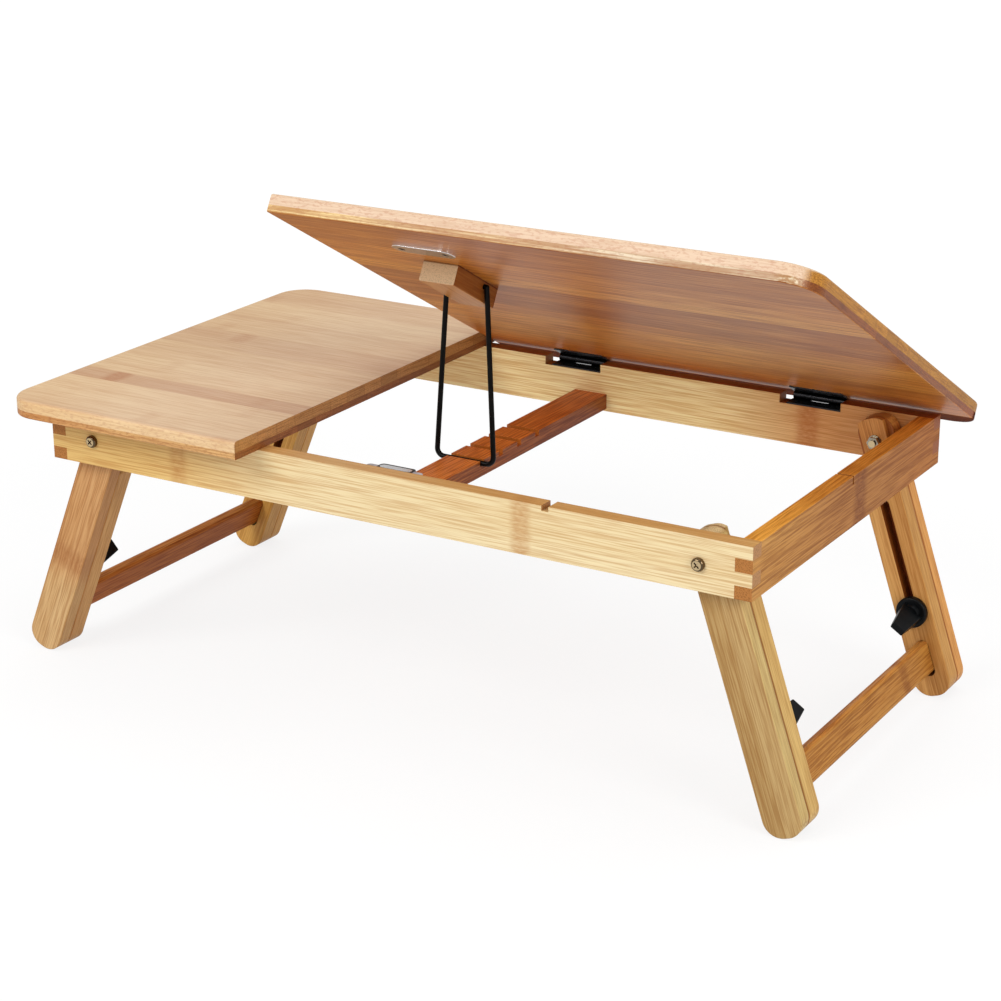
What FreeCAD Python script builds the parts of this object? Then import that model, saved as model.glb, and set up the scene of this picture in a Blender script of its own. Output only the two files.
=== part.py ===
import FreeCAD, Part
import os
from math import cos, radians, sin, tan
from FreeCAD import Vector

# Laptop bed desk. Millimetres: X runs along the desk, Z is up and the feet stand on z = 0.
# The tilting top is hinged along the back rail (+Y), and its front edge (-Y) stands raised.

# Box frame under the tops
RAIL_T = 12.0
RAIL_H = 36.0
FINGERS = 4
RACK_W = 27.2
RACK_T = 12.0
RACK_DROP = 22.5
CORD_NOTCH_W = 5.2
CORD_NOTCH_DEEP = 3.5
CORD_NOTCH_INSET = 146.0
KERF_W = 2.0
KERF_DEEP = 6.0
KERF_Y = -1.3

# Tops
TOP_L = 600.0
TOP_W = 360.0
UPPER_PLY = 8.0
LOWER_PLY = 5.0
END_OVERHANG = 22.6
SIDE_OVERHANG = 26.0
FIXED_L = 206.0
TOPS_GAP = 2.0
TOP_CORNER_R = 25.0
TOP_EDGE_R = 2.5
UNDER_EDGE_R = 1.0
TILT = 28.92

# Butt hinges
LEAF_L = 42.0
LEAF_T = 1.2
PIN_R = 1.5
KNUCKLE_R = 2.9
KNUCKLE_GAP = 0.3
PIN_OUT = 2.1
PIN_DROP = 3.1
PIN_RUN = 0.05
HINGE_INSETS = (79.75, 115.25)
NOTCH_OPEN = 5.8
NOTCH_SIDE_GAP = 0.3
NOTCH_UNDER_KNUCKLE = 0.4

# Prop: a bent wire between a block under the tilting top and the notched rack
PROP_X = 1.0
WIRE_R = 1.85
WIRE_BEND_R = 5.5
WIRE_FOOT_HALF = 23.4
WIRE_IN_BLOCK = 8.65
WIRE_RUN = 0.07
WIRE_SIDE_GAP = 0.35
BLOCK_L = 58.0
BLOCK_W = 27.6
BLOCK_T = 14.4
BLOCK_INSET = 78.5
WIRE_HOLE_Y = -62.3
WIRE_HOLE_DROP = 4.0
NOTCHES = 4
NOTCH_STEP = 25.5
NOTCH_FIRST_Y = -39.5
NOTCH_DEEP = 3.9
NOTCH_FRONT_GAP = 0.25
NOTCH_BACK_GAP = 1.5
NOTCH_FLOOR_GAP = 0.2

# Magnetic catch and its strike plate
STRIKE_L = 48.0
STRIKE_W = 16.0
STRIKE_T = 1.8
STRIKE_EDGE_R = 0.4
STRIKE_X = 5.0
STRIKE_INSET = 47.5
STRIKE_SCREWS = 34.0
CATCH_L = 28.0
CATCH_W = 13.0
CATCH_H = 12.0
CATCH_R = 3.0
CATCH_CAP_T = 1.5
CATCH_EARS_L = 44.0
CATCH_EARS_W = 9.0
CATCH_EARS_DROP = 0.3
POLE_L = 25.0
POLE_W = 5.5
POLE_Y = 8.2
POLE_OUT = 0.15
CATCH_CLOSED_GAP = 0.2

# Legs, measured from the pivot down the board
RIGHT_SPLAY = 18.5
LEFT_SPLAY = 22.6
LEG_W = 28.0
LEG_REACH = 188.95
LEG_HEAD = 17.0
HEAD_R = 12.0
FOOT_R = 12.5
LEG_EDGE_R = 0.8
PIVOT_INSET = 36.6
PIVOT_DROP = 18.0
UPPER_LEG_T = 12.0
TONGUE_W = 19.5
TONGUE_T = 5.0
LOWER_LEG_T = 15.5
LOWER_LEG_START = 27.0
SLIDE_GAP = 0.2
SLOT_START = 44.0
SLOT_W = 7.0
STRETCHER_W = 23.5
STRETCHER_T = 9.0
STRETCHER_LIFT = 30.35
STRETCHER_EDGE_R = 3.0
MORTISE_GAP = 0.5
MORTISE_UNDER = 2.8
MORTISE_R = 4.6

# Pivot screws, nuts and stops
SCREW_R = 2.5
SCREW_RUN = 0.05
SCREW_HEAD_R = 4.5
SCREW_HEAD_T = 3.2
SCREW_TIP = 1.5
WASHER_R = 5.0
WASHER_T = 0.8
NUT_ACROSS = 8.0
NUT_T = 4.0
STOP_R = 3.0
STOP_DEEP = 6.0
STOP_OUT = 10.0
STOP_AT = 12.0
STOP_GAP = 0.3

# Clamping knobs
KNOB_LIFT = 64.95
STUD_R = 3.0
STUD_DEEP = 7.5
STUD_IN_KNOB = 9.0
STUD_RUN = 0.05
KNOB_R = 11.4
KNOB_RIM = 4.5
KNOB_H = 30.0
KNOB_GAP = 0.1
PADDLE_BASE = (16.5, 9.0)
PADDLE_TIP = (10.2, 4.8)
PADDLE_LEAN = (2.2, -2.3)
KNOB_TURNS = {
    "left_front_knob": 131.0,
    "left_back_knob": -35.0,
    "right_front_knob": 147.0,
    "right_back_knob": -33.0,
}

# Small countersunk wood screws
WOOD_SCREW_R = 1.3
WOOD_SCREW_HEAD_R = 2.5
WOOD_SCREW_L = 10.0
LEAF_SCREW_END = 7.0

# Heights and lines that follow from the sizes above
FRAME_L = TOP_L - 2 * END_OVERHANG
FRAME_W = TOP_W - 2 * SIDE_OVERHANG
KNOB_AT = LEG_REACH - KNOB_LIFT
STRETCHER_AT = LEG_REACH - STRETCHER_LIFT
FOOT_FLAT = LEG_W / 2 - FOOT_R
PIVOT_Z = (
    (LEG_REACH - FOOT_R) * cos(radians(RIGHT_SPLAY))
    + FOOT_FLAT * sin(radians(RIGHT_SPLAY))
    + FOOT_R
)
PIVOT_X = FRAME_L / 2 - PIVOT_INSET
FRAME_TOP = PIVOT_Z + PIVOT_DROP
FRAME_LOW = FRAME_TOP - RAIL_H
PLY_LINE = FRAME_TOP + LOWER_PLY
TOP_FACE = PLY_LINE + UPPER_PLY
INNER_L = FRAME_L / 2 - RAIL_T
INNER_W = FRAME_W / 2 - RAIL_T
PIN_Y = FRAME_W / 2 + PIN_OUT
PIN_Z = FRAME_TOP - PIN_DROP
NOTCH_FLOOR = PIN_Z - KNUCKLE_R - NOTCH_UNDER_KNUCKLE
SPLIT_X = -TOP_L / 2 + FIXED_L
TILT_X0 = SPLIT_X + TOPS_GAP
TILT_X1 = TOP_L / 2
HINGE_XS = (TILT_X0 + HINGE_INSETS[0], TILT_X1 - HINGE_INSETS[1])
RACK_TOP = FRAME_TOP - RACK_DROP
RACK_NOTCH_W = 2 * WIRE_R + NOTCH_FRONT_GAP + NOTCH_BACK_GAP
BLOCK_Y0 = -TOP_W / 2 + BLOCK_INSET
WIRE_HOLE_Z = FRAME_TOP - WIRE_HOLE_DROP
WIRE_TOP_X = BLOCK_W / 2 + WIRE_SIDE_GAP + WIRE_R + 0.05
ROD_Y = NOTCH_FIRST_Y - RACK_NOTCH_W / 2 + NOTCH_FRONT_GAP + WIRE_R
ROD_Z = RACK_TOP - NOTCH_DEEP + NOTCH_FLOOR_GAP + WIRE_R
STRIKE_Y = -TOP_W / 2 + STRIKE_INSET
CATCH_TOP = FRAME_TOP - STRIKE_T - CATCH_CLOSED_GAP
CATCH_CAP_LOW = CATCH_TOP - POLE_OUT - CATCH_CAP_T
CATCH_LOW = CATCH_CAP_LOW - CATCH_H

# The layers of a leg, from the rail inwards
LEG_Y1 = INNER_W - WASHER_T
LEG_Y0 = LEG_Y1 - UPPER_LEG_T
TONGUE_Y = LEG_Y0 - TONGUE_T
LOWER_Y1 = LEG_Y0 - SLIDE_GAP
LOWER_Y0 = LOWER_Y1 - LOWER_LEG_T
GROOVE_Y = TONGUE_Y - SLIDE_GAP
KNOB_Y = LOWER_Y0 - KNOB_GAP
STRETCHER_END = GROOVE_Y - SLIDE_GAP

UP = Vector(0, 0, 1)
DOWN = Vector(0, 0, -1)
BACK = Vector(0, 1, 0)
FRONT = Vector(0, -1, 0)


def box(x0, x1, y0, y1, z0, z1):
    return Part.makeBox(x1 - x0, y1 - y0, z1 - z0, Vector(x0, y0, z0))


def rod(start, end, r):
    along = end - start
    return Part.makeCylinder(r, along.Length, start, along)


def joined(shapes):
    first = shapes[0]
    return first.fuse(shapes[1:]).removeSplitter() if shapes[1:] else first


def on_plane(edge, axis, value):
    return all(abs(getattr(v.Point, axis) - value) < 1e-6 for v in edge.Vertexes)


def along(edge, axis):
    if not isinstance(edge.Curve, Part.Line):
        return False
    direction = edge.Vertexes[0].Point - edge.Vertexes[-1].Point
    return abs(abs(getattr(direction, axis)) - direction.Length) < 1e-6


def rounded(shape, r, wanted):
    return shape.makeFillet(r, [e for e in shape.Edges if wanted(e)])


def eased(shape, r, axis, values):
    return rounded(shape, r, lambda e: any(on_plane(e, axis, v) for v in values))


def mirror_x(shape):
    return shape.mirror(Vector(0, 0, 0), Vector(1, 0, 0))


def mirror_y(shape):
    return shape.mirror(Vector(0, 0, 0), Vector(0, 1, 0))


def four_corners(shape):
    pair = [shape, mirror_y(shape)]
    return pair + [mirror_x(s) for s in pair]


def tilted(shape):
    turned = shape.copy()
    turned.rotate(Vector(0, PIN_Y, PIN_Z), Vector(-1, 0, 0), TILT)
    return turned


def cross_recess(head, direction, across, width, deep):
    """A cross-head slot, sunk from the head's crown."""
    tools = []
    for turn in (45, 135):
        tool = Part.makeBox(across, width, deep, Vector(-across / 2, -width / 2, -deep))
        tool.rotate(Vector(0, 0, 0), UP, turn)
        tools.append(tool)
    tool = joined(tools)
    tool.Placement = FreeCAD.Placement(head, FreeCAD.Rotation(UP, direction))
    return tool


def wood_screw(crown, inward, head_t):
    """A countersunk screw whose flat crown is at a point; the shank runs inward."""
    cone = Part.makeCone(WOOD_SCREW_HEAD_R, WOOD_SCREW_R, head_t, crown, inward)
    shank = Part.makeCylinder(WOOD_SCREW_R, WOOD_SCREW_L, crown, inward)
    recess = cross_recess(crown, inward * -1, WOOD_SCREW_R * 2.2, 0.6, head_t * 0.7)
    return joined([cone, shank]).cut(recess)


def wood_screw_room(crown, inward, head_t):
    cone = Part.makeCone(WOOD_SCREW_HEAD_R, WOOD_SCREW_R, head_t, crown, inward)
    shank = Part.makeCylinder(WOOD_SCREW_R, WOOD_SCREW_L, crown, inward)
    return joined([cone, shank])


# Frame rails


def finger(k):
    """The height of one box finger, counted from the top."""
    step = RAIL_H / FINGERS
    return FRAME_TOP - (k + 1) * step, FRAME_TOP - k * step


def long_rail():
    pieces = [box(-INNER_L, INNER_L, INNER_W, FRAME_W / 2, FRAME_LOW, FRAME_TOP)]
    for k in range(0, FINGERS, 2):
        low, high = finger(k)
        pieces.append(
            box(-FRAME_L / 2, FRAME_L / 2, INNER_W, FRAME_W / 2, low, high)
        )
    return joined(pieces)


def end_rail():
    pieces = [box(INNER_L, FRAME_L / 2, -INNER_W, INNER_W, FRAME_LOW, FRAME_TOP)]
    for k in range(1, FINGERS, 2):
        low, high = finger(k)
        pieces.append(
            box(INNER_L, FRAME_L / 2, -FRAME_W / 2, FRAME_W / 2, low, high)
        )
    return joined(pieces)


def hinge_notch(x):
    """A slot in the back rail's top: the leaf sits against one side and leaves the other open."""
    x0 = x - LEAF_L / 2 - NOTCH_OPEN
    x1 = x + LEAF_L / 2 + NOTCH_SIDE_GAP
    return box(x0, x1, INNER_W - 1, FRAME_W / 2 + 1, NOTCH_FLOOR, FRAME_TOP + 1)


def cord_notch():
    x = FRAME_L / 2 - CORD_NOTCH_INSET
    return box(
        x - CORD_NOTCH_W / 2,
        x + CORD_NOTCH_W / 2,
        -FRAME_W / 2 - 1,
        -INNER_W + 1,
        FRAME_TOP - CORD_NOTCH_DEEP,
        FRAME_TOP + 1,
    )


def rail_kerf():
    y0 = KERF_Y - KERF_W / 2
    return box(
        INNER_L - 1,
        FRAME_L / 2 + 1,
        y0,
        y0 + KERF_W,
        FRAME_TOP - KERF_DEEP,
        FRAME_TOP + 1,
    )


def off_centre(shape):
    """The prop's parts all sit PROP_X beside the frame's middle."""
    shape.translate(Vector(PROP_X, 0, 0))
    return shape


def prop_rack():
    bar = box(
        -RACK_W / 2, RACK_W / 2, -INNER_W, INNER_W, RACK_TOP - RACK_T, RACK_TOP
    )
    bar = rounded(bar, UNDER_EDGE_R, lambda e: along(e, "y") and not on_plane(e, "z", RACK_TOP))
    slots = []
    for k in range(NOTCHES):
        y = NOTCH_FIRST_Y + k * NOTCH_STEP
        slots.append(
            box(
                -RACK_W / 2 - 1,
                RACK_W / 2 + 1,
                y - RACK_NOTCH_W / 2,
                y + RACK_NOTCH_W / 2,
                RACK_TOP - NOTCH_DEEP,
                RACK_TOP + 1,
            )
        )
    return off_centre(bar.cut(slots))


# Tops


def ply(x0, x1, round_x, cut_x, z0, z1, edge_z, edge_r):
    """One layer of a top: its corners are rounded at one end, and its edge is eased but for the cut end."""
    plate = box(x0, x1, -TOP_W / 2, TOP_W / 2, z0, z1)
    plate = rounded(plate, TOP_CORNER_R, lambda e: along(e, "z") and on_plane(e, "x", round_x))
    return rounded(
        plate, edge_r, lambda e: on_plane(e, "z", edge_z) and not on_plane(e, "x", cut_x)
    )


def top_plies(x0, x1, round_x, cut_x):
    upper = ply(x0, x1, round_x, cut_x, PLY_LINE, TOP_FACE, TOP_FACE, TOP_EDGE_R)
    lower = ply(x0, x1, round_x, cut_x, FRAME_TOP, PLY_LINE, FRAME_TOP, UNDER_EDGE_R)
    return upper, lower


def prop_block():
    """The block is drawn as it sits with the top closed."""
    half = BLOCK_W / 2
    low = FRAME_TOP - BLOCK_T
    body = box(-half, half, BLOCK_Y0, BLOCK_Y0 + BLOCK_L, low, FRAME_TOP)
    body = rounded(body, UNDER_EDGE_R, lambda e: along(e, "y") and on_plane(e, "z", low))
    holes = []
    for side in (-1, 1):
        inner = Vector(side * (half - WIRE_IN_BLOCK + 0.75), WIRE_HOLE_Y, WIRE_HOLE_Z)
        outer = Vector(side * (half + 1), WIRE_HOLE_Y, WIRE_HOLE_Z)
        holes.append(rod(inner, outer, WIRE_R + WIRE_RUN))
    return off_centre(body.cut(holes))


def stadium(x, y, z, length, width, height):
    plate = box(x - length / 2, x + length / 2, y - width / 2, y + width / 2, z, z + height)
    return rounded(plate, width / 2 - 0.01, lambda e: along(e, "z"))


def strike_crowns():
    z = FRAME_TOP - STRIKE_T
    return [Vector(STRIKE_X + side * STRIKE_SCREWS / 2, STRIKE_Y, z) for side in (-1, 1)]


def strike_plate():
    low = FRAME_TOP - STRIKE_T
    plate = stadium(STRIKE_X, STRIKE_Y, low, STRIKE_L, STRIKE_W, STRIKE_T)
    return eased(plate, STRIKE_EDGE_R, "z", (low,))


# Magnetic catch inside the front rail


def against_rail(length, width, r, z0, z1):
    """A block on the front rail's inner face, with its two free corners rounded."""
    y0 = -INNER_W
    y1 = y0 + width
    block = box(STRIKE_X - length / 2, STRIKE_X + length / 2, y0, y1, z0, z1)
    return rounded(block, r, lambda e: along(e, "z") and on_plane(e, "y", y1))


def catch_pole():
    y = -INNER_W + POLE_Y
    return stadium(STRIKE_X, y, CATCH_CAP_LOW, POLE_L, POLE_W, CATCH_TOP - CATCH_CAP_LOW)


def catch_cap():
    cap = against_rail(CATCH_L, CATCH_W, CATCH_R, CATCH_CAP_LOW, CATCH_TOP - POLE_OUT)
    return cap.cut(catch_pole())


def catch_body():
    core = against_rail(CATCH_L, CATCH_W, CATCH_R, CATCH_LOW, CATCH_CAP_LOW)
    high = CATCH_TOP - CATCH_EARS_DROP
    ears = against_rail(CATCH_EARS_L, CATCH_EARS_W, CATCH_R, CATCH_LOW, high)
    half = CATCH_L / 2
    cap_room = box(
        STRIKE_X - half, STRIKE_X + half, -INNER_W - 1, -INNER_W + CATCH_W, CATCH_CAP_LOW, high + 1
    )
    return joined([core, ears.cut(cap_room)])


def catch_crowns():
    y = -INNER_W + CATCH_EARS_W
    z = CATCH_LOW + CATCH_H / 2
    reach = (CATCH_L + CATCH_EARS_L) / 4
    return [Vector(STRIKE_X + side * reach, y, z) for side in (-1, 1)]


def catch_shank(crown):
    deep = CATCH_EARS_W + WOOD_SCREW_L * 0.7
    return rod(crown - Vector(0, 1, 0), crown - Vector(0, deep, 0), WOOD_SCREW_R)


def catch_screw(crown):
    return joined([wood_screw(crown, FRONT, 1.5), catch_shank(crown)])


def catch_screw_room(crown):
    return joined([wood_screw_room(crown, FRONT, 1.5), catch_shank(crown)])


# Butt hinges


def knuckle_spans(x):
    """Three knuckles: the outer two are on the lower leaf, the middle one on the upper."""
    step = LEAF_L / 3
    x0 = x - LEAF_L / 2
    half = KNUCKLE_GAP / 2
    lower = [(x0, x0 + step - half), (x0 + 2 * step + half, x0 + LEAF_L)]
    upper = [(x0 + step + half, x0 + 2 * step - half)]
    return lower, upper


def leaf(x, z0, spans, bore_r):
    """A leaf lies from the rail's inner face to the pin, cut back where the other leaf's knuckles turn."""
    back = PIN_Y - KNUCKLE_R - KNUCKLE_GAP
    pieces = [box(x - LEAF_L / 2, x + LEAF_L / 2, INNER_W, back, z0, z0 + LEAF_T)]
    for x0, x1 in spans:
        pieces.append(box(x0, x1, back - 1, PIN_Y, z0, z0 + LEAF_T))
        pieces.append(rod(Vector(x0, PIN_Y, PIN_Z), Vector(x1, PIN_Y, PIN_Z), KNUCKLE_R))
    bore = rod(
        Vector(x - LEAF_L, PIN_Y, PIN_Z), Vector(x + LEAF_L, PIN_Y, PIN_Z), bore_r
    )
    return joined(pieces).cut(bore)


def lower_leaf(x):
    return leaf(x, NOTCH_FLOOR, knuckle_spans(x)[0], PIN_R)


def upper_leaf(x):
    return leaf(x, FRAME_TOP - LEAF_T, knuckle_spans(x)[1], PIN_R + PIN_RUN)


def hinge_pin(x):
    return rod(
        Vector(x - LEAF_L / 2, PIN_Y, PIN_Z), Vector(x + LEAF_L / 2, PIN_Y, PIN_Z), PIN_R
    )


def leaf_crowns(x, z):
    reach = LEAF_L / 2 - LEAF_SCREW_END
    y = (INNER_W + PIN_Y - KNUCKLE_R) / 2
    return [Vector(x + k * reach, y, z) for k in (-1, 0, 1)]


# Wire prop, in its rest pose


def wire_prop():
    top = tilted(Part.Vertex(0, WIRE_HOLE_Y, WIRE_HOLE_Z)).Point
    right = Vector(WIRE_TOP_X, top.y, top.z)
    corner = Vector(WIRE_FOOT_HALF, ROD_Y, ROD_Z)
    middle = Vector(0, ROD_Y, ROD_Z)
    down = (corner - right).normalize()
    level = Vector(-1, 0, 0)
    half_turn = down.getAngle(level) / 2
    setback = WIRE_BEND_R * tan(half_turn)
    start = corner - down * setback
    end = corner + level * setback
    inward = (level - down).normalize()
    centre = corner + inward * (WIRE_BEND_R / cos(half_turn))
    crown = centre - inward * WIRE_BEND_R
    edges = [
        Part.makeLine(right, start),
        Part.Arc(start, crown, end).toShape(),
        Part.makeLine(end, middle),
    ]
    profile = Part.Wire(
        Part.Circle(right, down, WIRE_R).toShape()
    )
    side = Part.Wire(edges).makePipeShell([profile], True, False)
    elbow = Part.makeSphere(WIRE_R + 0.05, right)
    inner = BLOCK_W / 2 - WIRE_IN_BLOCK + 1.0
    pin = rod(Vector(inner, top.y, top.z), right, WIRE_R)
    half = joined([side, elbow, pin])
    return off_centre(joined([half, mirror_x(half)]))


# Legs. Each is drawn upright at the pivot on the back right, then splayed and mirrored.


def leg_reach(splay):
    """How far a leg board runs below its pivot, so that its foot stands on z = 0."""
    a = radians(splay)
    return (PIVOT_Z - FOOT_R - FOOT_FLAT * sin(a)) / cos(a) + FOOT_R


def board(y0, y1, head, head_r, reach):
    """A leg board from its head down to the foot, with rounded ends."""
    half = LEG_W / 2
    plank = box(-half, half, y0, y1, -reach, head)
    plank = rounded(plank, head_r, lambda e: along(e, "y") and on_plane(e, "z", head))
    return rounded(plank, FOOT_R, lambda e: along(e, "y") and on_plane(e, "z", -reach))


def splayed(shape, splay):
    turned = shape.copy()
    turned.rotate(Vector(0, 0, 0), BACK, -splay)
    turned.translate(Vector(PIVOT_X, 0, PIVOT_Z))
    return turned


def leg_point(s, c, y, splay):
    """A point s down the splayed leg and c across it, on the right side."""
    a = radians(splay)
    return Vector(PIVOT_X + s * sin(a) + c * cos(a), y, PIVOT_Z - s * cos(a) + c * sin(a))


def upper_leg(splay):
    reach = leg_reach(splay)
    body = board(LEG_Y0, LEG_Y1, LEG_HEAD, HEAD_R, reach)
    body = eased(body, LEG_EDGE_R, "y", (LEG_Y0, LEG_Y1))
    strip = box(-TONGUE_W / 2, TONGUE_W / 2, TONGUE_Y, LEG_Y0 + 2, -reach, LEG_HEAD)
    tongue = strip.common(board(TONGUE_Y, LEG_Y0 + 2, LEG_HEAD, HEAD_R, reach))
    pivot_bore = rod(
        Vector(0, TONGUE_Y - 1, 0), Vector(0, LEG_Y1 + 1, 0), SCREW_R + SCREW_RUN
    )
    stud_bore = rod(
        Vector(0, TONGUE_Y - 1, -KNOB_AT), Vector(0, TONGUE_Y + STUD_DEEP, -KNOB_AT), STUD_R
    )
    return splayed(joined([body, tongue]).cut([pivot_bore, stud_bore]), splay)


def stud(splay):
    tip = Vector(0, KNOB_Y - STUD_IN_KNOB, -KNOB_AT)
    root = Vector(0, TONGUE_Y + STUD_DEEP, -KNOB_AT)
    return splayed(rod(tip, root, STUD_R), splay)


def stretcher_section(y0, y1, gap, under, r):
    """The slat's section, grown by a gap across its width and by more below it."""
    half_t = STRETCHER_T / 2 + gap
    high = -STRETCHER_AT + STRETCHER_W / 2 + gap
    low = -STRETCHER_AT - STRETCHER_W / 2 - gap - under
    return rounded(box(-half_t, half_t, y0, y1, low, high), r, lambda e: along(e, "y"))


def lower_leg(splay):
    reach = leg_reach(splay)
    body = board(LOWER_Y0, LOWER_Y1, -LOWER_LEG_START, 3.0, reach)
    body = eased(body, LEG_EDGE_R, "y", (LOWER_Y0, LOWER_Y1))
    groove_half = TONGUE_W / 2 + SLIDE_GAP
    groove = box(
        -groove_half, groove_half, GROOVE_Y, LOWER_Y1 + 1, -reach - 1, -LOWER_LEG_START + 1
    )
    slot_high = -SLOT_START
    slot = joined(
        [
            rod(Vector(0, LOWER_Y0 - 1, -KNOB_AT), Vector(0, LOWER_Y1, -KNOB_AT), SLOT_W / 2),
            rod(Vector(0, LOWER_Y0 - 1, slot_high), Vector(0, LOWER_Y1, slot_high), SLOT_W / 2),
            box(-SLOT_W / 2, SLOT_W / 2, LOWER_Y0 - 1, LOWER_Y1, -KNOB_AT, slot_high),
        ]
    )
    mortise = stretcher_section(LOWER_Y0 - 1, LOWER_Y1, MORTISE_GAP, MORTISE_UNDER, MORTISE_R)
    return splayed(body.cut([groove, slot, mortise]), splay)


def stretcher(splay):
    slat = stretcher_section(-STRETCHER_END, STRETCHER_END, 0, 0, STRETCHER_EDGE_R)
    return splayed(slat, splay)


def knob(turn):
    """A knob drawn on +Z: a round rim and one flat paddle that narrows to its tip."""
    rim = Part.makeCylinder(KNOB_R, KNOB_RIM)
    rim = rounded(rim, 1.2, lambda e: on_plane(e, "z", KNOB_RIM))
    profiles = []
    for size, lean, z in (
        (PADDLE_BASE, (0.0, 0.0), KNOB_RIM - 1.5),
        (PADDLE_TIP, PADDLE_LEAN, KNOB_H),
    ):
        a, b = size[0] / 2, size[1] / 2
        ring = [(-a, -b), (a, -b), (a, b), (-a, b), (-a, -b)]
        profiles.append(
            Part.makePolygon([Vector(lean[0] + x, lean[1] + y, z) for x, y in ring])
        )
    paddle = Part.makeLoft(profiles, True, True)
    paddle = rounded(paddle, 1.0, lambda e: not on_plane(e, "z", KNOB_RIM - 1.5))
    hub = Part.makeCone(7.5, 6.0, 3.5, Vector(0, 0, KNOB_RIM - 1))
    bore = Part.makeCylinder(STUD_R + STUD_RUN, STUD_IN_KNOB + 0.6)
    shape = joined([rim, hub, paddle]).cut(bore)
    shape.rotate(Vector(0, 0, 0), UP, turn)
    return shape


def placed_knob(name):
    """The knob faces the desk's middle; its turn is read from the front, above +X."""
    side = 1 if name.startswith("right") else -1
    end = 1 if "back" in name else -1
    at = leg_point(KNOB_AT, 0, 0, RIGHT_SPLAY if side > 0 else LEFT_SPLAY)
    shape = knob(KNOB_TURNS[name])
    shape.rotate(Vector(0, 0, 0), Vector(1, 0, 0), 90)
    if end < 0:
        shape = mirror_y(shape)
    shape.translate(Vector(side * at.x, end * KNOB_Y, at.z))
    return shape


# Pivot hardware, drawn at the back right


def pivot_screw():
    tip_y = TONGUE_Y - WASHER_T - NUT_T - SCREW_TIP
    shank = rod(Vector(PIVOT_X, tip_y, PIVOT_Z), Vector(PIVOT_X, FRAME_W / 2, PIVOT_Z), SCREW_R)
    head = Part.makeCylinder(
        SCREW_HEAD_R, SCREW_HEAD_T, Vector(PIVOT_X, FRAME_W / 2, PIVOT_Z), BACK
    )
    crown_y = FRAME_W / 2 + SCREW_HEAD_T
    head = rounded(head, SCREW_HEAD_T * 0.6, lambda e: on_plane(e, "y", crown_y))
    recess = cross_recess(
        Vector(PIVOT_X, crown_y, PIVOT_Z), BACK, SCREW_HEAD_R, 1.0, SCREW_HEAD_T * 0.6
    )
    return joined([shank, head]).cut(recess)


def ring(y0, y1, outer_r):
    centre0 = Vector(PIVOT_X, y0, PIVOT_Z)
    centre1 = Vector(PIVOT_X, y1, PIVOT_Z)
    return rod(centre0, centre1, outer_r).cut(rod(centre0, centre1, SCREW_R))


def pivot_washers():
    return [
        ring(LEG_Y1, INNER_W, WASHER_R),
        ring(TONGUE_Y - WASHER_T, TONGUE_Y, WASHER_R),
    ]


def pivot_nut():
    y1 = TONGUE_Y - WASHER_T
    r = NUT_ACROSS / 2 / cos(radians(30))
    corners = [
        Vector(PIVOT_X + r * cos(radians(60 * k)), y1, PIVOT_Z + r * sin(radians(60 * k)))
        for k in range(7)
    ]
    hexagon = Part.Face(Part.makePolygon(corners)).extrude(Vector(0, -NUT_T, 0))
    shaft = rod(Vector(PIVOT_X, y1 - NUT_T, PIVOT_Z), Vector(PIVOT_X, y1, PIVOT_Z), SCREW_R)
    return hexagon.cut(shaft)


def stop_dowel(splay):
    """It stands in the rail, outside the path of the leg's head, and only the upper board meets it."""
    across = LEG_W / 2 + STOP_GAP + STOP_R
    return rod(
        leg_point(STOP_AT, across, INNER_W - STOP_OUT, splay),
        leg_point(STOP_AT, across, INNER_W + STOP_DEEP, splay),
        STOP_R,
    )


def pair(shape):
    """The same piece at the front and back of one end."""
    return [shape, mirror_y(shape)]


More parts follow.
